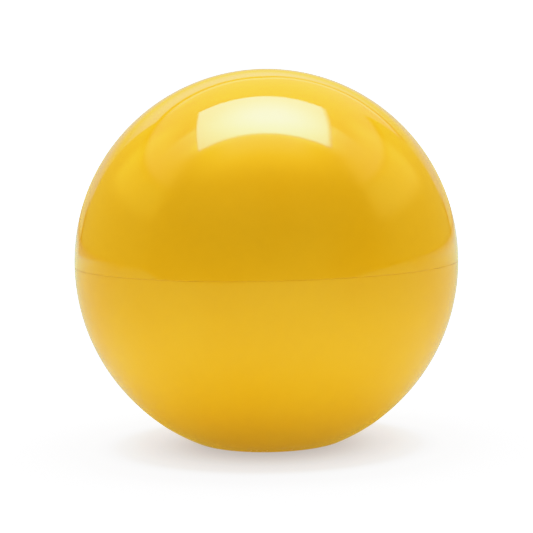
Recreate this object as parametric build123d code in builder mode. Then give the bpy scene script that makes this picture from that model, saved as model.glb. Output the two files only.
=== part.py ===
from build123d import *

import os
from math import radians, tan

# Ball top for a joystick lever: a glossy ball with a flat foot and a blind M6 tapping hole.
#
# Two outer half shells meet at a hairline seam around the widest point. They enclose a solid
# moulded core, which is moulded around a knurled brass insert. The insert's plain spigot comes
# down through the foot and takes the lever's threaded end.
#
# Millimetres, +Z up. The origin is the centre of the flat foot and +Z runs up the thread axis
# to the crown of the ball.

# ---- ball ----
ball_r = 17.5  # outside radius at the seam and over the whole upper half
lower_ball_h = 17.8  # the lower half is slightly fuller: vertical semi-axis of its ellipse
seam_z = 16.3  # height of the seam plane, and of the ball's centre, above the foot
foot_edge_r = 0.5  # rounding of the foot's rim
seam_half_h = 0.065  # the seam is a shallow V: half its height ...
seam_depth = 0.05  # ... and its depth
beyond_ball = 2 * ball_r  # larger than the ball's reach from its centre

# ---- cavity and core ----
cavity_r = 13.5  # inside of both shells
seat_offset = 12.0  # flat seats for the core, this far below and above the ball's centre
cavity_floor_z = seam_z - seat_offset
cavity_roof_z = seam_z + seat_offset
core_gap = 0.05  # bond line between the core and the shells
core_r = cavity_r - core_gap

# ---- lugs round the core that stop the shells turning on it ----
lug_count = 4
lug_first_angle = 45.0
lug_r = 14.2  # outer end
lug_len = 4.0  # radial length, rooted inside the core
lug_w = 3.0
lug_half_h = 2.6
slot_r = lug_r + core_gap
slot_w = lug_w + 2 * core_gap
slot_half_h = lug_half_h + core_gap

# ---- tongue on the upper shell's rim, and its groove in the lower shell ----
tongue_in_r, tongue_out_r = 15.3, 16.3
tongue_h = 1.2
tongue_chamfer = 0.2
tongue_root_h = 0.5  # overlap into the upper shell, so the two fuse
joint_gap = 0.05  # glue gap on every wall of the joint

# ---- threaded insert ----
mouth_z = 0.2  # the mouth face sits just inside the foot
insert_top_z = 15.4
spigot_r = 4.4  # plain length that passes through the lower shell
undercut_r = 3.85  # between the knurled bands, stops the insert pulling out
nose_r = 3.9
nose_chamfer = 0.5

band_h = 3.8  # each of the two knurled bands
undercut_h = 1.6
band_1_bottom = cavity_floor_z
band_1_top = band_1_bottom + band_h
band_2_bottom = band_1_top + undercut_h
band_2_top = band_2_bottom + band_h

knurl_r = 4.5
knurl_count = 36
knurl_depth = 0.38
knurl_half_w = 0.33  # half the width of one V groove at the knurl's crest
knurl_chamfer = 0.25
knurl_overcut = 0.1  # the V cutter runs on past the crest

# The bore is left at the 5.0 mm tapping size for M6 x 1. The thread's own form is not cut:
# on the real insert it runs from 2.4 to 10.9 mm above the foot.
bore_r = 2.5
countersink_r = 3.35  # 90 degree countersink at the mouth
countersink_depth = countersink_r - bore_r
drill_top_z = 12.4
drill_tip_angle = 118.0
drill_tip_h = bore_r / tan(radians(drill_tip_angle / 2))

# ---- hole in the foot ----
hole_r = spigot_r + 0.05  # radial gap round the spigot
hole_chamfer = 0.3  # lead-in on the hole's edge at the foot


# ---- shared shapes: each is a separate solid, added to or cut from a piece ----
def turned(*outline):
    """Solid turned about Z from (radius, z) points."""
    with BuildPart() as solid:
        with BuildSketch(Plane.XZ):
            Polygon(*outline, align=None)
        revolve(axis=Axis.Z)
    return solid.part


def ball_slice(radius, bottom, top):
    """Part of a ball centred on the seam plane that lies between two heights."""
    with BuildPart() as solid:
        with BuildSketch(Plane.XZ):
            with Locations((0, seam_z)):
                Circle(radius)
            with Locations((0, bottom)):
                Rectangle(
                    beyond_ball,
                    top - bottom,
                    align=(Align.MIN, Align.MIN),
                    mode=Mode.INTERSECT,
                )
        revolve(axis=Axis.Z)
    return solid.part


def lug_ring(radius, width, height, both=False):
    """Lugs or slots with rounded outer ends, from the seam up (down if height is negative)."""
    with BuildPart() as solid:
        with BuildSketch(Plane.XY.offset(seam_z)):
            with PolarLocations(0, lug_count, start_angle=lug_first_angle):
                with Locations((radius, 0)):
                    Rectangle(lug_len, width, align=(Align.MAX, Align.CENTER))
            Circle(radius, mode=Mode.INTERSECT)
        extrude(amount=height, both=both)
    return solid.part


def seam_flank(side):
    """Cutter for one flank of the seam's V: side is 1 above the seam, -1 below."""
    return turned(
        (ball_r - seam_depth, seam_z),
        (ball_r + seam_depth, seam_z),
        (ball_r + seam_depth, seam_z + side * 2 * seam_half_h),
    )


# ---- pieces ----
def upper_shell():
    tongue_tip_z = seam_z - tongue_h
    with BuildPart() as shell:
        add(ball_slice(ball_r, seam_z, seam_z + beyond_ball))
        add(ball_slice(cavity_r, seam_z, cavity_roof_z), mode=Mode.SUBTRACT)
        # tongue hanging below the rim
        add(
            turned(
                (tongue_in_r, seam_z + tongue_root_h),
                (tongue_in_r, tongue_tip_z + tongue_chamfer),
                (tongue_in_r + tongue_chamfer, tongue_tip_z),
                (tongue_out_r - tongue_chamfer, tongue_tip_z),
                (tongue_out_r, tongue_tip_z + tongue_chamfer),
                (tongue_out_r, seam_z + tongue_root_h),
            )
        )
        add(seam_flank(1), mode=Mode.SUBTRACT)
        add(lug_ring(slot_r, slot_w, slot_half_h), mode=Mode.SUBTRACT)
    return shell.part


def lower_shell():
    groove_in_r = tongue_in_r - joint_gap
    groove_out_r = tongue_out_r + joint_gap
    groove_floor_z = seam_z - tongue_h - joint_gap
    with BuildPart() as shell:
        # outside: the lower half of the fuller ball, cut flat at the foot
        with BuildSketch(Plane.XZ):
            with Locations((0, seam_z)):
                Ellipse(ball_r, lower_ball_h)
            Rectangle(beyond_ball, seam_z, align=(Align.MIN, Align.MIN), mode=Mode.INTERSECT)
        revolve(axis=Axis.Z)
        foot_rim = edges().filter_by(GeomType.CIRCLE).sort_by(Axis.Z)[0]
        fillet(foot_rim, foot_edge_r)
        add(ball_slice(cavity_r, cavity_floor_z, seam_z), mode=Mode.SUBTRACT)
        # groove for the tongue
        add(
            turned(
                (groove_in_r, groove_floor_z),
                (groove_out_r, groove_floor_z),
                (groove_out_r, seam_z),
                (groove_in_r, seam_z),
            ),
            mode=Mode.SUBTRACT,
        )
        add(seam_flank(-1), mode=Mode.SUBTRACT)
        # hole in the foot for the insert's spigot
        add(
            turned(
                (0, 0),
                (hole_r + hole_chamfer, 0),
                (hole_r, hole_chamfer),
                (hole_r, cavity_floor_z),
                (0, cavity_floor_z),
            ),
            mode=Mode.SUBTRACT,
        )
        add(lug_ring(slot_r, slot_w, -slot_half_h), mode=Mode.SUBTRACT)
    return shell.part


def insert_body():
    """The insert without its bore, which is also the hollow it leaves in the core."""
    chamfered_r = knurl_r - knurl_chamfer
    cutter_r = knurl_r + knurl_overcut
    cutter_half_w = knurl_half_w * (knurl_depth + knurl_overcut) / knurl_depth
    with BuildPart() as body:
        add(
            turned(
                (0, mouth_z),
                (spigot_r, mouth_z),
                (spigot_r, band_1_bottom),
                (knurl_r, band_1_bottom),
                (knurl_r, band_1_top - knurl_chamfer),
                (chamfered_r, band_1_top),
                (undercut_r, band_1_top),
                (undercut_r, band_2_bottom),
                (chamfered_r, band_2_bottom),
                (knurl_r, band_2_bottom + knurl_chamfer),
                (knurl_r, band_2_top - knurl_chamfer),
                (chamfered_r, band_2_top),
                (nose_r, band_2_top),
                (nose_r, insert_top_z - nose_chamfer),
                (nose_r - nose_chamfer, insert_top_z),
                (0, insert_top_z),
            )
        )
        # straight knurl: V grooves cut along both bands
        with BuildSketch(Plane.XY.offset(band_1_bottom)):
            with PolarLocations(0, knurl_count):
                Polygon(
                    (knurl_r - knurl_depth, 0),
                    (cutter_r, cutter_half_w),
                    (cutter_r, -cutter_half_w),
                    align=None,
                )
        extrude(amount=band_2_top - band_1_bottom, mode=Mode.SUBTRACT)
    return body.part


def threaded_insert():
    with BuildPart() as insert:
        add(insert_body())
        # countersink, bore at tapping size and its conical end
        add(
            turned(
                (0, mouth_z),
                (countersink_r, mouth_z),
                (bore_r, mouth_z + countersink_depth),
                (bore_r, drill_top_z),
                (0, drill_top_z + drill_tip_h),
            ),
            mode=Mode.SUBTRACT,
        )
    return insert.part


def core():
    with BuildPart() as moulding:
        add(ball_slice(core_r, cavity_floor_z, cavity_roof_z))
        # lugs that key into both shells
        add(lug_ring(lug_r, lug_w, lug_half_h, both=True))
        # moulded around the insert
        add(insert_body(), mode=Mode.SUBTRACT)
    return moulding.part


# ---- export: one file per piece, named after its function ----
os.makedirs("parts", exist_ok=True)
for build in (upper_shell, lower_shell, core, threaded_insert):
    piece = build()
    piece.label = build.__name__
    export_step(piece, f"parts/{piece.label}.step")
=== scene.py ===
"""Looks for the ball top: shells, core and insert with procedural materials, on a white table.

The ball stands on the table at z = 0 with its axis on Z. The camera looks from the front (-Y),
with +X on its right. Sizes of the ball are in mm, those of the stage in metres.
"""

from math import asin, atan2, cos, degrees, hypot, pi, radians, sin, sqrt

import bmesh
import bpy
from mathutils import Matrix, Vector


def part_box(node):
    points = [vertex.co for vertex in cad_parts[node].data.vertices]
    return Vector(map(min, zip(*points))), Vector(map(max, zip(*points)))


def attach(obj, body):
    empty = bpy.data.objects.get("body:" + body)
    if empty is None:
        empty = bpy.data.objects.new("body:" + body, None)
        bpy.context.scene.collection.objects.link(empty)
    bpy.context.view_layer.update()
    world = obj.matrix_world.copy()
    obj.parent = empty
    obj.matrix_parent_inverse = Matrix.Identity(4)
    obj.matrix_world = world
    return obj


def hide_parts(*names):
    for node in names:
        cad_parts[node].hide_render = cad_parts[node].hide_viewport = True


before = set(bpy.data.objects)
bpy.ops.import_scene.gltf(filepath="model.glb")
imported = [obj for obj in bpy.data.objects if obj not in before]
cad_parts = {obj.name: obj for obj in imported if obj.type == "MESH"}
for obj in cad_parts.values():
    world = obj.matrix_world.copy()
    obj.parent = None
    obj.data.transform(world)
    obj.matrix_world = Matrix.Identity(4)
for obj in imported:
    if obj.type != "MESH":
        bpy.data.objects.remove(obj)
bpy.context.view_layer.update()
MM = 0.001

# ---- sizes, in mm, the same as the CAD model's ------------------------------------------
SEAM_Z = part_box("lower_shell")[1].z / MM  # the lower shell's rim is the seam plane
CROWN_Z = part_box("upper_shell")[1].z / MM
BALL_R = CROWN_Z - SEAM_Z
LOWER_DEPTH = 17.8  # upright half-axis of the lower half's ellipse
FOOT_EDGE = 0.5  # radius of the foot's rounded rim
SEAM_HALF_H, SEAM_DEPTH = 0.032, 0.022
CAVITY_R, FLOOR_Z, ROOF_Z = 13.5, 4.3, 28.3

# the upper shell's tongue, its height and chamfer, and the groove's clearance round it
TONGUE_IN, TONGUE_OUT, TONGUE_H, TONGUE_CH = 15.3, 16.3, 1.2, 0.2
JOINT_GAP = 0.05
HOLE_R, HOLE_CH = 4.45, 0.3  # hole in the foot and its chamfer

# four slots in the cavity's wall, SLOT_H to each side of the seam
SLOT_R, SLOT_W, SLOT_H = 14.25, 3.1, 2.65
SLOT_COUNT, SLOT_FIRST = 4, 45  # the first slot's direction in degrees
CUT_INNER_R = 10.5  # the slot cutters start inside the cavity
CUT_OVERRUN = 1.0  # and run this far past the seam

BORE_R, ROOT_R, PITCH = 2.5, 3.0, 1.0  # the CAD's plain bore, and M6 x 1's root and pitch
THREAD = (2.0, 2.6, 10.8, 11.2)  # the thread comes in, is full and runs out at these heights
# one pitch as (share of the pitch, share of the depth): crest, flank, root, flank at 60 degrees
THREAD_FORM = ((0.0, 0.0), (0.25, 0.0), (0.5625, 1.0), (0.6875, 1.0))

SEGMENTS = 192


# ---- mesh helpers -----------------------------------------------------------------------
def arc(cx, cz, rx, rz, start, end, steps):
    """Points on an ellipse from start to end in degrees, both ends included."""
    angles = [radians(start + (end - start) * i / steps) for i in range(steps + 1)]
    return [(cx + rx * cos(a), cz + rz * sin(a)) for a in angles]


def without_repeats(points):
    kept = []
    for p in points:
        if not kept or hypot(p[0] - kept[-1][0], p[1] - kept[-1][1]) > 1e-5:
            kept.append(p)
    return kept


def new_mesh(name, verts, faces):
    mesh = bpy.data.meshes.new(name)
    mesh.from_pydata(verts, [], faces)
    return mesh


def new_object(name, data):
    obj = bpy.data.objects.new(name, data)
    bpy.context.scene.collection.objects.link(obj)
    return obj


def lathe(name, profile):
    """A closed solid of revolution from an (r, z) outline. Points on the axis become poles."""
    verts, rings = [], []
    for r, z in without_repeats(profile):
        base = len(verts)
        if r < 1e-6:
            rings.append([base])
            verts.append((0.0, 0.0, z * MM))
        else:
            rings.append(list(range(base, base + SEGMENTS)))
            for k in range(SEGMENTS):
                angle = 2 * pi * k / SEGMENTS
                verts.append((r * cos(angle) * MM, r * sin(angle) * MM, z * MM))
    faces = []
    for this, after in zip(rings, rings[1:] + rings[:1]):
        if len(this) == 1 and len(after) == 1:
            continue
        for k in range(SEGMENTS):
            k2 = (k + 1) % SEGMENTS
            if len(this) == 1:
                faces.append((this[0], after[k2], after[k]))
            elif len(after) == 1:
                faces.append((this[k], this[k2], after[0]))
            else:
                faces.append((this[k], this[k2], after[k2], after[k]))
    mesh = new_mesh(name, verts, faces)
    mesh.validate()
    return new_object(name, mesh)


def prisms(name, outlines, z0, z1):
    """Upright prisms from (x, y) outlines, in one mesh."""
    verts, faces = [], []
    for outline in outlines:
        n, base = len(outline), len(verts)
        for z in (z0, z1):
            verts += [(x * MM, y * MM, z * MM) for x, y in outline]
        faces.append(tuple(base + i for i in reversed(range(n))))
        faces.append(tuple(base + n + i for i in range(n)))
        for i in range(n):
            j = (i + 1) % n
            faces.append((base + i, base + j, base + n + j, base + n + i))
    return new_object(name, new_mesh(name, verts, faces))


def outward(obj):
    """Faces point outwards, shaded smooth with sharp edges kept sharp."""
    bm = bmesh.new()
    bm.from_mesh(obj.data)
    bmesh.ops.recalc_face_normals(bm, faces=bm.faces)
    bm.to_mesh(obj.data)
    bm.free()
    for polygon in obj.data.polygons:
        polygon.use_smooth = True
    obj.data.set_sharp_from_angle(angle=radians(20))


def carve(obj, cutter):
    """Subtracts cutter from obj and removes it."""
    mod = obj.modifiers.new("carve", "BOOLEAN")
    mod.operation, mod.object, mod.solver = "DIFFERENCE", cutter, "EXACT"
    depsgraph = bpy.context.evaluated_depsgraph_get()
    carved = bpy.data.meshes.new_from_object(obj.evaluated_get(depsgraph))
    obj.modifiers.clear()
    uncarved = obj.data
    obj.data = carved
    carved.name = obj.name
    bpy.data.meshes.remove(uncarved)
    cutter_mesh = cutter.data
    bpy.data.objects.remove(cutter)
    bpy.data.meshes.remove(cutter_mesh)


# ---- shells -----------------------------------------------------------------------------
def slot_outlines():
    """Each slot from above: a straight inner end, parallel sides and a rounded outer end."""
    half = asin(SLOT_W / 2 / SLOT_R)
    outline = [(CUT_INNER_R, SLOT_W / 2), (CUT_INNER_R, -SLOT_W / 2)]
    outline += [(SLOT_R * cos(a), SLOT_R * sin(a)) for a in [half * (i / 6 - 1) for i in range(13)]]
    turned = []
    for k in range(SLOT_COUNT):
        turn = radians(SLOT_FIRST + 360 / SLOT_COUNT * k)
        c, s = cos(turn), sin(turn)
        turned.append([(x * c - y * s, x * s + y * c) for x, y in outline])
    return turned


def upper_profile():
    """Dome, flat cavity roof, cavity wall, then the tongue below the seam."""
    lip_angle = degrees(asin(SEAM_HALF_H / BALL_R))
    roof_angle = degrees(asin((ROOF_Z - SEAM_Z) / CAVITY_R))
    roof_r = sqrt(CAVITY_R**2 - (ROOF_Z - SEAM_Z) ** 2)
    tip_z = SEAM_Z - TONGUE_H
    return (
        [(BALL_R - SEAM_DEPTH, SEAM_Z)]
        + arc(0, SEAM_Z, BALL_R, BALL_R, lip_angle, 90, 96)[:-1]
        + [(0, CROWN_Z), (0, ROOF_Z), (roof_r, ROOF_Z)]
        + arc(0, SEAM_Z, CAVITY_R, CAVITY_R, roof_angle, 0, 40)
        + [
            (TONGUE_IN, SEAM_Z),
            (TONGUE_IN, tip_z + TONGUE_CH),
            (TONGUE_IN + TONGUE_CH, tip_z),
            (TONGUE_OUT - TONGUE_CH, tip_z),
            (TONGUE_OUT, tip_z + TONGUE_CH),
            (TONGUE_OUT, SEAM_Z),
        ]
    )


def on_ellipse(angle):
    """Point (x, z) and outward normal of the lower half's outline, at a parameter in degrees."""
    c, s = cos(radians(angle)), sin(radians(angle))
    nx, nz = c / BALL_R, s / LOWER_DEPTH
    length = hypot(nx, nz)
    return BALL_R * c, SEAM_Z + LOWER_DEPTH * s, nx / length, nz / length


def foot_rim_angle():
    """Where the foot's rounded rim leaves the ellipse, found by halving."""
    low, high = -89.0, -30.0
    for _ in range(60):
        mid = (low + high) / 2
        _, z, _, nz = on_ellipse(mid)
        if z - FOOT_EDGE * nz < FOOT_EDGE:
            low = mid
        else:
            high = mid
    return (low + high) / 2


def lower_profile():
    """Ellipse, rounded foot, hole, cavity wall, then the groove that takes the tongue."""
    lip_angle = -degrees(asin(SEAM_HALF_H / LOWER_DEPTH))
    floor_angle = -degrees(asin((SEAM_Z - FLOOR_Z) / CAVITY_R))
    rim_angle = foot_rim_angle()
    x, _, nx, nz = on_ellipse(rim_angle)
    rim_x = x - FOOT_EDGE * nx
    groove_in, groove_out = TONGUE_IN - JOINT_GAP, TONGUE_OUT + JOINT_GAP
    groove_z = SEAM_Z - TONGUE_H - JOINT_GAP
    return (
        [(BALL_R - SEAM_DEPTH, SEAM_Z)]
        + arc(0, SEAM_Z, BALL_R, LOWER_DEPTH, lip_angle, rim_angle, 80)
        + arc(rim_x, FOOT_EDGE, FOOT_EDGE, FOOT_EDGE, degrees(asin(nz)), -90, 10)
        + [(HOLE_R + HOLE_CH, 0), (HOLE_R, HOLE_CH), (HOLE_R, FLOOR_Z)]
        + arc(0, SEAM_Z, CAVITY_R, CAVITY_R, floor_angle, 0, 40)
        + [
            (groove_in, SEAM_Z),
            (groove_in, groove_z),
            (groove_out, groove_z),
            (groove_out, SEAM_Z),
        ]
    )


def shell(name, profile, cut_z0, cut_z1):
    obj = lathe(name, profile)
    outward(obj)
    carve(obj, prisms("slot_cutter", slot_outlines(), cut_z0, cut_z1))
    return obj


upper_shell = shell("ball_upper_shell", upper_profile(), SEAM_Z - CUT_OVERRUN, SEAM_Z + SLOT_H)
lower_shell = shell("ball_lower_shell", lower_profile(), SEAM_Z - SLOT_H, SEAM_Z + CUT_OVERRUN)
for obj, node in ((upper_shell, "upper_shell"), (lower_shell, "lower_shell")):
    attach(obj, "root")
    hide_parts(node)


# ---- threaded insert: the CAD model's own outside, with the thread's form in its bore ----
def thread_depth(z):
    """How much of the thread's depth is cut at height z, from 0 to 1."""
    start, full, fade, end = THREAD
    return max(0.0, min(1.0, (z - start) / (full - start), (end - z) / (end - fade)))


def threaded(name, source):
    """A copy of the bored insert in which a right-hand helix takes the plain wall's place."""
    bm = bmesh.new()
    bm.from_mesh(source.data)
    bmesh.ops.remove_doubles(bm, verts=bm.verts[:], dist=1e-7)
    wall = {v for v in bm.verts if abs(hypot(v.co.x, v.co.y) / MM - BORE_R) < 0.003}
    z0, z1 = (pick(v.co.z for v in wall) / MM for pick in (min, max))
    # the bore's own points round its bottom edge, as shares of a turn
    bottom = [v.co for v in wall if v.co.z / MM < z0 + 0.01]
    turns = sorted(atan2(co.y, co.x) % (2 * pi) / (2 * pi) for co in bottom)
    turns.append(turns[0] + 1.0)
    wall_faces = [f for f in bm.faces if wall.issuperset(f.verts)]
    bmesh.ops.delete(bm, geom=wall_faces, context="FACES")
    rows = []
    for lap in range(int(z1 / PITCH) + 3):
        for phase, depth in THREAD_FORM:
            row = []
            for turn in turns:
                z = max(z0, min(z1, (lap - 1 + phase + turn) * PITCH))
                r = BORE_R + (ROOT_R - BORE_R) * depth * thread_depth(z)
                angle = 2 * pi * turn
                row.append(bm.verts.new((r * cos(angle) * MM, r * sin(angle) * MM, z * MM)))
            rows.append(row)
    for low, high in zip(rows, rows[1:]):
        for k in range(len(turns) - 1):
            bm.faces.new((low[k], high[k], high[k + 1], low[k + 1]))
    bmesh.ops.remove_doubles(bm, verts=bm.verts[:], dist=1e-6)
    bmesh.ops.dissolve_degenerate(bm, edges=bm.edges[:], dist=1e-7)
    mesh = bpy.data.meshes.new(name)
    bm.to_mesh(mesh)
    bm.free()
    return new_object(name, mesh)


insert = threaded("ball_threaded_insert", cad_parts["threaded_insert"])
outward(insert)
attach(insert, "root")
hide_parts("threaded_insert")


# ---- material helpers -------------------------------------------------------------------
class Net:
    """Short calls for building a node tree. Values are numbers, tuples or output sockets."""

    def __init__(self, tree):
        self.tree = tree
        tree.nodes.clear()

    def node(self, kind, inputs=(), **props):
        node = self.tree.nodes.new(kind)
        for key, value in props.items():
            setattr(node, key, value)
        for key, value in dict(inputs).items():
            self.put(node.inputs[key], value)
        return node

    def put(self, socket, value):
        if isinstance(value, bpy.types.NodeSocket):
            self.tree.links.new(value, socket)
        else:
            socket.default_value = (*value, 1.0) if socket.type == "RGBA" else value

    def shader(self, kind, inputs=()):
        return self.node(kind, inputs).outputs[0]

    def math(self, op, a, b=0.0, c=0.0):
        return self.node("ShaderNodeMath", {0: a, 1: b, 2: c}, operation=op).outputs[0]

    def vmath(self, op, a, b=(0, 0, 0)):
        node = self.node("ShaderNodeVectorMath", {0: a, 1: b}, operation=op)
        return node.outputs["Value" if op in ("LENGTH", "DOT_PRODUCT") else 0]

    def scale(self, vec, factor):
        inputs = {0: vec, "Scale": factor}
        return self.node("ShaderNodeVectorMath", inputs, operation="SCALE").outputs[0]

    def ramp(self, value, span, to=(0.0, 1.0), smooth=True):
        """Takes the span's two ends to the two values of to, and holds them beyond it."""
        inputs = {"Value": value, "From Min": span[0], "From Max": span[1]}
        inputs.update({"To Min": to[0], "To Max": to[1]})
        kind = "SMOOTHSTEP" if smooth else "LINEAR"
        node = self.node("ShaderNodeMapRange", inputs, interpolation_type=kind, clamp=True)
        return node.outputs["Result"]

    def noise(self, vec, scale, detail=2.0, rough=0.5, distortion=0.0):
        inputs = {"Vector": vec, "Scale": scale, "Detail": detail}
        inputs.update({"Roughness": rough, "Distortion": distortion})
        return self.node("ShaderNodeTexNoise", inputs).outputs["Fac"]

    def mix(self, fac, a, b):
        """Mixes two colours."""
        return self.node("ShaderNodeMix", {"Factor": fac, 6: a, 7: b}, data_type="RGBA").outputs[2]

    def mix_float(self, fac, a, b):
        return self.node("ShaderNodeMix", {"Factor": fac, 2: a, 3: b}, data_type="FLOAT").outputs[0]

    def xyz(self, vec):
        return tuple(self.node("ShaderNodeSeparateXYZ", {0: vec}).outputs)

    def bump(self, height, distance, strength=1.0, normal=None):
        inputs = {"Height": height, "Distance": distance, "Strength": strength}
        if normal is not None:
            inputs["Normal"] = normal
        return self.node("ShaderNodeBump", inputs).outputs["Normal"]

    def object_position(self):
        return self.node("ShaderNodeTexCoord").outputs["Object"]

    def world_position(self):
        return self.node("ShaderNodeNewGeometry").outputs["Position"]

    def output(self, surface, kind="ShaderNodeOutputMaterial"):
        self.node(kind, {"Surface": surface})


def material(name):
    mat = bpy.data.materials.new(name)
    mat.use_nodes = True
    return mat, Net(mat.node_tree)


# ---- shell plastic: glossy and dyed -----------------------------------------------------
SHELL_DYE = (0.80, 0.428, 0.0070)
SHELL_DYE_WARM = (SHELL_DYE[0], SHELL_DYE[1] * 1.03, SHELL_DYE[2] * 1.4)
SCUFF_COLOUR = (0.72, 0.47, 0.10)
GRIME_COLOUR = (0.50, 0.25, 0.012)
STREAK_STRETCH = (300.0, 900.0, 2600.0)  # hairlines are fine in z and long in x


def shell_plastic():
    mat, net = material("shell_plastic_gloss")
    pos = net.object_position()
    _, _, z = net.xyz(pos)
    # slow clouding of the dye, and fine specks in it
    cloud = net.noise(pos, scale=90.0, detail=3.0)
    speck = net.noise(pos, scale=1400.0, rough=0.6)
    tone = net.math(
        "ADD",
        net.ramp(cloud, span=(0.3, 0.7), to=(-0.012, 0.012), smooth=False),
        net.ramp(speck, span=(0.3, 0.7), to=(-0.006, 0.006), smooth=False),
    )
    dye = net.mix(net.ramp(cloud, span=(0.35, 0.7)), SHELL_DYE, SHELL_DYE_WARM)
    colour = net.scale(dye, net.math("ADD", tone, 1.0))
    # scuffs on the foot's rim and a trace of grime in the seam
    foot = net.ramp(z, span=(0.0011, 0.0001))
    scuff_noise = net.noise(pos, scale=700.0, detail=4.0, rough=0.7)
    scuff = net.math("MULTIPLY", foot, net.ramp(scuff_noise, span=(0.45, 0.62)))
    from_seam = net.math("ABSOLUTE", net.math("SUBTRACT", z, SEAM_Z * MM))
    seam = net.ramp(from_seam, span=(0.00008, 0.00003))
    colour = net.mix(net.math("MULTIPLY", scuff, 0.35), colour, SCUFF_COLOUR)
    colour = net.mix(net.math("MULTIPLY", seam, 0.14), colour, GRIME_COLOUR)
    # polish: handling haze and hairlines in roughness, more of it on scuffs and grime
    haze = net.noise(pos, scale=160.0, detail=4.0, rough=0.6, distortion=0.4)
    streak = net.noise(net.vmath("MULTIPLY", pos, STREAK_STRETCH), scale=1.0, detail=3.0)
    rough = net.math(
        "ADD",
        net.ramp(haze, span=(0.35, 0.75), to=(0.035, 0.075), smooth=False),
        net.ramp(streak, span=(0.62, 0.75), to=(0.0, 0.03), smooth=False),
    )
    rough = net.math("ADD", rough, net.math("MULTIPLY", scuff, 0.30))
    rough = net.math("ADD", rough, net.math("MULTIPLY", seam, 0.12))
    # moulding waviness, a faint grain and the scuffs in the normal
    wave = net.noise(pos, scale=210.0, detail=1.0, rough=0.4)
    grain = net.noise(pos, scale=2600.0)
    normal = net.bump(wave, distance=0.000012)
    normal = net.bump(grain, distance=0.00000018, normal=normal)
    scuff_strength = net.math("MULTIPLY", foot, 0.7)
    normal = net.bump(scuff_noise, distance=0.00002, strength=scuff_strength, normal=normal)
    inputs = {
        "Base Color": colour,
        "Roughness": rough,
        "IOR": 1.55,
        "Specular Tint": (1.0, 0.95, 0.50),
        "Normal": normal,
    }
    net.output(net.shader("ShaderNodeBsdfPrincipled", inputs))
    return mat


# ---- core: undyed moulding, matt, with flow marks ----------------------------------------
CORE_DARK, CORE_LIGHT = (0.56, 0.52, 0.42), (0.66, 0.62, 0.52)
CORE_FLOW = (0.47, 0.43, 0.33)


def core_plastic():
    mat, net = material("core_plastic_matt")
    pos = net.object_position()
    cloud = net.noise(pos, scale=130.0, detail=4.0, rough=0.55, distortion=0.6)
    flow = net.node(
        "ShaderNodeTexWave",
        {"Vector": pos, "Scale": 110.0, "Distortion": 3.0, "Detail": 2.0},
        wave_type="BANDS",
        bands_direction="Z",
    ).outputs["Fac"]
    colour = net.mix(net.ramp(cloud, span=(0.3, 0.72)), CORE_DARK, CORE_LIGHT)
    colour = net.mix(net.ramp(flow, span=(0.6, 1.0), to=(0.0, 0.18)), colour, CORE_FLOW)
    rough = net.ramp(cloud, span=(0.3, 0.7), to=(0.42, 0.58), smooth=False)
    normal = net.bump(flow, distance=0.000015, strength=0.5)
    grain = net.noise(pos, scale=2400.0, detail=3.0, rough=0.6)
    normal = net.bump(grain, distance=0.000006, strength=0.8, normal=normal)
    inputs = {"Base Color": colour, "Roughness": rough, "Normal": normal}
    net.output(net.shader("ShaderNodeBsdfPrincipled", inputs))
    return mat


# ---- insert: turned brass ---------------------------------------------------------------
BRASS, BRASS_STAINED = (0.80, 0.58, 0.25), (0.66, 0.44, 0.17)
BRASS_RING = (0.88, 0.70, 0.36)
RINGS_PER_METRE = 9000.0


def turned_brass():
    mat, net = material("insert_turned_brass")
    pos = net.object_position()
    x, y, z = net.xyz(pos)
    square_x, square_y = net.math("MULTIPLY", x, x), net.math("MULTIPLY", y, y)
    radius = net.math("SQRT", net.math("ADD", square_x, square_y))
    # turning marks: rings in z on the sides, in radius on the faces
    z_and_radius = net.node(
        "ShaderNodeCombineColor", {0: net.math("MULTIPLY", z, 1.0), 1: radius, 2: 0.0}
    ).outputs[0]
    ring_pos = net.vmath("MULTIPLY", z_and_radius, (RINGS_PER_METRE, RINGS_PER_METRE, 0.0))
    rings = net.noise(ring_pos, scale=1.0, rough=0.6)
    stain = net.noise(pos, scale=420.0, detail=4.0, rough=0.6, distortion=0.5)
    colour = net.mix(net.ramp(stain, span=(0.35, 0.75)), BRASS, BRASS_STAINED)
    colour = net.mix(net.ramp(rings, span=(0.3, 0.7), to=(0.0, 0.25)), colour, BRASS_RING)
    rough = net.math(
        "ADD",
        net.ramp(stain, span=(0.3, 0.7), to=(0.22, 0.40), smooth=False),
        net.ramp(rings, span=(0.3, 0.7), to=(-0.04, 0.05), smooth=False),
    )
    normal = net.bump(rings, distance=0.000004, strength=0.8)
    normal = net.bump(stain, distance=0.000008, strength=0.5, normal=normal)
    inputs = {"Base Color": colour, "Metallic": 1.0, "Roughness": rough, "Normal": normal}
    net.output(net.shader("ShaderNodeBsdfPrincipled", inputs))
    return mat


shell_mat, core_mat, brass_mat = shell_plastic(), core_plastic(), turned_brass()
for obj, mat in (
    (upper_shell, shell_mat),
    (lower_shell, shell_mat),
    (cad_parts["core"], core_mat),
    (insert, brass_mat),
):
    if not obj.material_slots:
        obj.data.materials.append(mat)
    for slot in obj.material_slots:
        slot.material = mat


# ---- stage: sizes in metres -------------------------------------------------------------
CENTRE = Vector((0, 0, SEAM_Z * MM))
ELEVATION = radians(5.37)  # the camera's, above the ball's centre
TO_CAMERA = Vector((0, -cos(ELEVATION), sin(ELEVATION)))  # from the ball
UP = Vector((0, sin(ELEVATION), cos(ELEVATION)))
RIGHT = Vector((1, 0, 0))
WHITE = 2.0  # linear light that the tone curve takes to full white
ROOM_GLOSS = (0.311, 0.039, 0.0)  # the dim room, as the ball's polish sees it


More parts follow.
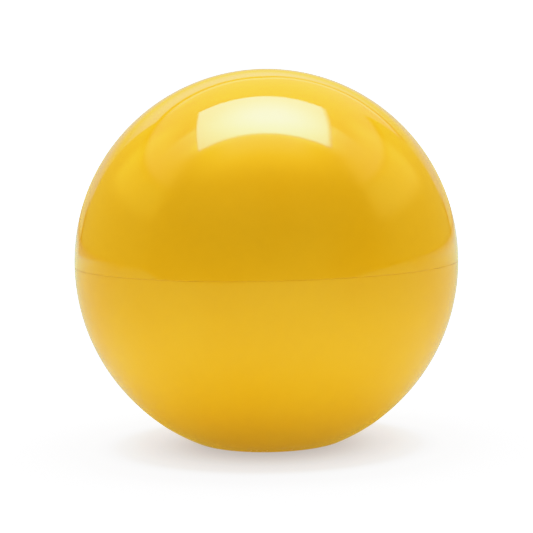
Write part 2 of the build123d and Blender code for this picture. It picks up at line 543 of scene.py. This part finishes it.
def card(name, corners):
    """A four-cornered stage piece whose UV runs from 0 to 1 along its sides."""
    mesh = new_mesh(name, [tuple(c) for c in corners], [(0, 1, 2, 3)])
    uv = mesh.uv_layers.new(name="uv")
    for i, corner in enumerate(((0, 0), (1, 0), (1, 1), (0, 1))):
        uv.data[i].uv = corner
    obj = new_object(name, mesh)
    return obj


def set_axes(obj, x_axis, y_axis, z_axis):
    obj.rotation_mode = "QUATERNION"
    obj.rotation_quaternion = Matrix((x_axis, y_axis, z_axis)).transposed().to_quaternion()


# ---- table ------------------------------------------------------------------------------
FLOOR_HALF = 3
FLOOR_DROP = 0.00001  # keeps the table clear of the foot
TABLE_ALBEDO = (0.0, 0.238, 0.299)  # in the polish, as are the three glows
TABLE_GLOSS = (0.690, 0.445, 0.067)
TABLE_PAINTED_SHADE_GLOSS = (0.700, 0.270, 0.0)  # painted shade: the table just behind the ball, darker in green and blue
TABLE_FAR_GLOSS = (0.690, 0.420, 0.240)
FLOOR_GLOW = (0.382, 0.382, 0.382)  # on matt surfaces
PAINTED_SHADOW_CENTRE = (0.0, -0.00305, 0.0)  # the painted contact shadow sits a little towards the front


def table_area(net, x, y):
    """1 on the table that the polish sees, 0 in the room in front of it."""
    # the front edge is two straight runs, (slope, y at x = 0), and a third past its left corner
    runs = [net.math("MULTIPLY_ADD", x, a, b) for a, b in ((-0.352, -0.1474), (0.079, -0.147))]
    edge = net.math("MAXIMUM", *runs)
    left_edge = net.math("MULTIPLY_ADD", net.math("ADD", x, 0.163), 0.181, -0.090)
    past_corner = net.ramp(x, span=(-0.162, -0.164))
    # 10 m stands for no edge
    edge = net.math("MINIMUM", edge, net.mix_float(past_corner, 10.0, left_edge))
    on_table = net.ramp(net.math("SUBTRACT", y, edge), span=(-0.005, 0.005))
    # half of it is lost in the back left corner
    leftward = net.ramp(net.math("MULTIPLY_ADD", y, 0.589, x), span=(-0.010, -0.030), to=(0.0, 0.5))
    back_left = net.math("MULTIPLY", leftward, net.ramp(y, span=(0.24, 0.32)))
    return net.math("MULTIPLY", on_table, net.math("SUBTRACT", 1.0, back_left))


def painted_shadow_glow(net, offset, reach):
    """What the camera sees: white beyond a painted shadow in the glow, wider than deep, its outer
    part more so.
    """
    inner = net.vmath("LENGTH", net.vmath("MULTIPLY", offset, (0.93, 1.0, 0.0)))
    outer = net.vmath("LENGTH", net.vmath("MULTIPLY", offset, (0.95, 1.12, 0.0)))
    glow = net.ramp(inner, span=(0.003, 0.0125), to=(0.42, 0.79))
    for distance, span, gain in (
        (outer, (0.0125, 0.0155), 0.38),
        (outer, (0.016, 0.024), 0.45),
        (reach, (0.05, 0.15), 0.6),
    ):
        glow = net.math("ADD", glow, net.ramp(distance, span=span, to=(0.0, gain)))
    return glow


def lit_and_glowing(net, albedo, glow, strength):
    lit = net.shader("ShaderNodeBsdfDiffuse", {"Color": albedo})
    glowing = net.shader("ShaderNodeEmission", {"Color": glow, "Strength": strength})
    return net.shader("ShaderNodeAddShader", {0: lit, 1: glowing})


def floor_white():
    """One look for the camera, one for the ball's polish and one for the light on surfaces."""
    mat, net = material("stage_floor_white")
    rays = net.node("ShaderNodeLightPath").outputs
    pos = net.world_position()
    x, y, _ = net.xyz(pos)
    on_table = table_area(net, x, y)
    from_painted_shadow = net.vmath("SUBTRACT", pos, PAINTED_SHADOW_CENTRE)
    offset = net.vmath("MULTIPLY", from_painted_shadow, (1.0, 1.0, 0.0))
    reach = net.vmath("LENGTH", offset)
    # painted shadow: the floor's glow to the camera dims round the foot; only its dim lit part
    # takes real shadow from the lights
    glow = painted_shadow_glow(net, offset, reach)
    to_camera = lit_and_glowing(net, (0.30, 0.30, 0.30), (1.0, 1.0, 1.01), glow)

    # painted contact shade: less of the table's glow is left where the foot meets it, in the polish
    # and in the light on surfaces
    painted_contact_shade = net.ramp(reach, span=(0.004, 0.010), to=(0.84, 1.0))
    # painted shade: in the polish, the table just behind the ball is darker in green and blue
    near_back = net.ramp(y, span=(-0.005, 0.015))
    painted_shade_behind = net.math("MULTIPLY", near_back, net.ramp(y, span=(0.20, 0.07)))
    table = net.mix(painted_shade_behind, TABLE_GLOSS, TABLE_PAINTED_SHADE_GLOSS)
    table = net.mix(net.ramp(y, span=(0.10, 0.30)), table, TABLE_FAR_GLOSS)
    to_polish = lit_and_glowing(
        net,
        net.mix(on_table, (0.0, 0.0, 0.0), TABLE_ALBEDO),
        net.mix(on_table, ROOM_GLOSS, table),
        painted_contact_shade,
    )
    to_surfaces = lit_and_glowing(net, (0.80, 0.79, 0.78), FLOOR_GLOW, painted_contact_shade)
    unseen = {0: rays["Is Glossy Ray"], 1: to_surfaces, 2: to_polish}
    # a camera under the table looks through it at the foot
    seen = {
        0: net.node("ShaderNodeNewGeometry").outputs["Backfacing"],
        1: to_camera,
        2: net.shader("ShaderNodeBsdfTransparent"),
    }
    both = {
        0: rays["Is Camera Ray"],
        1: net.shader("ShaderNodeMixShader", unseen),
        2: net.shader("ShaderNodeMixShader", seen),
    }
    net.output(net.shader("ShaderNodeMixShader", both))
    return mat


signs = ((-1, -1), (1, -1), (1, 1), (-1, 1))
floor = card("stage_floor", [(FLOOR_HALF * i, FLOOR_HALF * j, 0) for i, j in signs])
floor.location.z = -FLOOR_DROP
floor.data.materials.append(floor_white())

# ---- softbox: a panel above and behind the ball, seen only in the polish -----------------
BOX_NEAR = CENTRE + UP * 0.4721 + TO_CAMERA * 0.1124
BOX_FAR = CENTRE + UP * 0.6408 - TO_CAMERA * 0.2412
BOX_AXIS = (BOX_FAR - BOX_NEAR).normalized()
BOX_CORNERS = (
    BOX_NEAR - RIGHT * 0.285 - BOX_AXIS * 0.006,
    BOX_NEAR + RIGHT * 0.294 + BOX_AXIS * 0.001,
    BOX_FAR + RIGHT * 0.265,
    BOX_FAR - RIGHT * 0.280,
)
BOX_EDGE_GLOW = (3.59, 3.84, 6.09)
BOX_HOT_GLOW = (0.48, 7.38, 11.15)  # added at the hot spot
HOT_ACROSS, HOT_ALONG = (0.028, 0.175), (0.085, 0.122)  # the spot's middle and its spread


def softbox_glow():
    mat, net = material("stage_softbox_glow")
    pos = net.world_position()
    across, _, _ = net.xyz(pos)
    from_near = net.vmath("SUBTRACT", pos, tuple(BOX_NEAR))
    along = net.vmath("DOT_PRODUCT", from_near, tuple(BOX_AXIS))
    # brightest near the middle of its near half
    squares = []
    for value, (middle, spread) in ((across, HOT_ACROSS), (along, HOT_ALONG)):
        offset = net.math("MULTIPLY", net.math("SUBTRACT", value, middle), 1 / spread)
        squares.append(net.math("POWER", offset, 2.0))
    hot = net.math("EXPONENT", net.math("MULTIPLY", net.math("ADD", *squares), -0.5))
    # all four sides dim to the same share
    u, v, _ = net.xyz(net.node("ShaderNodeTexCoord").outputs["UV"])
    fades = []
    for value, low, high in ((u, (0.0, 0.02), (1.0, 0.94)), (v, (0.0, 0.05), (1.0, 0.97))):
        ends = [net.ramp(value, span=span, to=(0.3, 1.0)) for span in (low, high)]
        fades.append(net.math("MULTIPLY", *ends))
    glow = net.vmath("ADD", BOX_EDGE_GLOW, net.scale(BOX_HOT_GLOW, hot))
    inputs = {"Color": glow, "Strength": net.math("MULTIPLY", *fades)}
    net.output(net.shader("ShaderNodeEmission", inputs))
    return mat


softbox = card("stage_softbox", BOX_CORNERS)
softbox.data.materials.append(softbox_glow())
softbox.visible_camera = False
softbox.visible_diffuse = False
softbox.visible_shadow = False

# ---- key light: lights the surfaces, from a little further back than the softbox ---------
KEY_LIGHT = (8.67, 8.94, 8.94)
KEY_WIDTH = 0.60
key_near = CENTRE + UP * 0.495 + TO_CAMERA * 0.0645
key_far = CENTRE + UP * 0.699 - TO_CAMERA * 0.363
key = bpy.data.lights.new("key", "AREA")
key.shape, key.size, key.size_y = "RECTANGLE", KEY_WIDTH, (key_far - key_near).length
key.energy = max(KEY_LIGHT)
key.color = [c / max(KEY_LIGHT) for c in KEY_LIGHT]
key_obj = new_object("key", key)
key_obj.location = (key_near + key_far) / 2
key_back = RIGHT.cross(key_far - key_near).normalized()  # it shines the other way, downwards
set_axes(key_obj, RIGHT, key_back.cross(RIGHT), key_back)
key_obj.visible_glossy = False
key_obj.visible_camera = False

# ---- surroundings: white to the camera, soft room light on surfaces; in the polish, a ----
# ---- white backdrop behind the ball and a dim room elsewhere ------------------------------
DOME = (0.521, 0.521, 0.521)
HORIZON_GLOSS = (0.560, 0.740, 0.360)  # the backdrop at its foot
LOW_GLOSS = (0.158, 0.532, 0.671)
# the backdrop's colour changes over these heights in degrees
BACKDROP = (
    ((10, 20), (0.223, 0.545, 0.251)),
    ((20, 30), (0.150, 0.660, 1.050)),
)
GLOSS = {
    "middle": (0.254, 0.412, 0.136),
    "upper": (0.873, 0.477, 0.586),
    "ceiling": (3.40, 2.50, 0.50),
    "spill": (2.35, 2.95, 2.40),
    "front": (0.545, 0.176, 0.0),
    "halo": (0.0, 0.0, 1.3),
    "right": (1.115, 0.819, 0.266),
    "left": (1.071, 0.826, 0.137),
    "strip": LOW_GLOSS,
}


def room_gloss(net, direction):
    """What the polish sees in a direction. Spans and windows are in degrees."""

    def fade(value, span, **options):
        return net.ramp(value, span=[radians(a) for a in span], **options)

    def both(a, b):
        return net.math("MULTIPLY", a, b)

    def window(value, start, full, hold, end):
        """Rises from start to full, holds, then falls from hold to end."""
        return both(fade(value, (start, full)), fade(value, (end, hold)))

    dx, dy, dz = net.xyz(direction)
    turn = net.math("ARCTAN2", dx, dy)  # 0 straight behind the ball, positive to the right
    side = net.math("ABSOLUTE", turn)
    height = net.math("ARCSINE", dz)
    sky = fade(height, (-1.5, 1.0))

    # the backdrop's top edge is level on the left and drops away to the right
    slope = fade(side, (35, 36.5), to=(-0.40, 0.0))
    top = net.math("MULTIPLY_ADD", net.math("MAXIMUM", turn, 0.0), slope, radians(34.0))
    over = net.math("SUBTRACT", height, top)
    corner = net.math("MAXIMUM", fade(side, (34.5, 32)), fade(height, (4, 9)))
    behind = both(fade(side, (36.5, 35)), both(sky, fade(over, (1.3, -0.1))))
    behind = both(behind, corner)
    wall = net.mix(fade(height, (0, 10), smooth=False), HORIZON_GLOSS, LOW_GLOSS)
    for span, colour in BACKDROP:
        wall = net.mix(fade(height, span, smooth=False), wall, colour)

    # lift is 0 towards the camera and 90 above the ball
    lift_up = net.vmath("DOT_PRODUCT", direction, tuple(UP))
    lift = net.math("ARCTAN2", lift_up, net.vmath("DOT_PRODUCT", direction, tuple(TO_CAMERA)))

    def overhead(start, full, hold, end, across=(0.75, 0.25)):
        across_fade = net.ramp(net.math("ABSOLUTE", dx), span=across)
        return both(window(lift, start, full, hold, end), across_fade)

    masks = {
        "middle": both(window(side, 35, 36.5, 90, 120), both(sky, fade(height, (37, 33)))),
        "upper": both(fade(over, (1.5, 6.0)), fade(side, (120, 80))),
        # the ceiling in front of the softbox, lit by its spill
        "ceiling": overhead(45, 72, 82, 90),
        "spill": overhead(72, 84, 95, 100),
        "front": overhead(15, 48, 60, 78),
        # a little of the softbox's light hangs round its near edge
        "halo": overhead(60, 76, 84, 90, across=(0.45, 0.20)),
        "right": both(window(turn, 46, 58, 100, 112), window(height, 16, 24, 45, 55)),
        "left": both(window(turn, -112, -100, -58, -46), window(height, 18, 26, 45, 55)),
        # a thin strip of the backdrop's frame shows just above its edge
        "strip": both(window(over, 2.6, 3.6, 5.2, 6.2), fade(side, (40, 25))),
    }
    gloss = net.vmath("ADD", ROOM_GLOSS, net.scale(wall, behind))
    for name, mask in masks.items():
        gloss = net.vmath("ADD", gloss, net.scale(GLOSS[name], mask))
    return gloss, dz


world = bpy.data.worlds.new("studio")
bpy.context.scene.world = world
world.use_nodes = True
net = Net(world.node_tree)
rays = net.node("ShaderNodeLightPath").outputs
direction = net.vmath("NORMALIZE", net.node("ShaderNodeTexCoord").outputs["Generated"])
gloss, dz = room_gloss(net, direction)
ambient = net.scale(DOME, net.math("MAXIMUM", dz, 0.0))
unseen = net.mix(rays["Is Glossy Ray"], ambient, gloss)
colour = net.mix(rays["Is Camera Ray"], unseen, (1.1 * WHITE, 1.1 * WHITE, 1.1 * WHITE))
background = net.shader("ShaderNodeBackground", {"Color": colour, "Strength": 1.0})
net.output(background, kind="ShaderNodeOutputWorld")

# ---- camera -----------------------------------------------------------------------------
CAMERA_DIST = 8.0 * BALL_R * MM
LENS_MM, SENSOR_MM = 103.12345, 36.0
# the ball's centre sits a little above and left of the picture's: tangents of the aim
AIM_DOWN, AIM_RIGHT = 0.0037071, 0.000013099
ROLL = radians(1.09)

camera_data = bpy.data.cameras.new("camera")
camera = new_object("camera", camera_data)
scene = bpy.context.scene
scene.camera = camera
camera_data.sensor_width = SENSOR_MM
camera_data.lens = LENS_MM
camera_data.clip_start, camera_data.clip_end = 0.005, 20.0
camera.location = CENTRE + TO_CAMERA * CAMERA_DIST
ahead = (-TO_CAMERA - UP * AIM_DOWN + RIGHT * AIM_RIGHT).normalized()
level_right = ahead.cross(Vector((0, 0, 1))).normalized()
level_up = level_right.cross(ahead)
set_axes(
    camera,
    level_right * cos(ROLL) - level_up * sin(ROLL),
    level_right * sin(ROLL) + level_up * cos(ROLL),
    -ahead,
)

# ---- tone: a soft shoulder, as film and cameras have, so that bright dyes keep their hue --
# (linear light, shown value)
SHOULDER = ((0.275, 0.275), (0.55, 0.55), (0.8, 0.785), (1.0, 0.905), (1.35, 0.96))
view = scene.view_settings
view.view_transform = "Standard"
view.look = "None"
view.use_curve_mapping = True
tone = view.curve_mapping
tone.use_clip = False
tone.white_level = (WHITE, WHITE, WHITE)
for light, shown in SHOULDER:
    tone.curves[3].points.new(light / WHITE, shown)
tone.update()
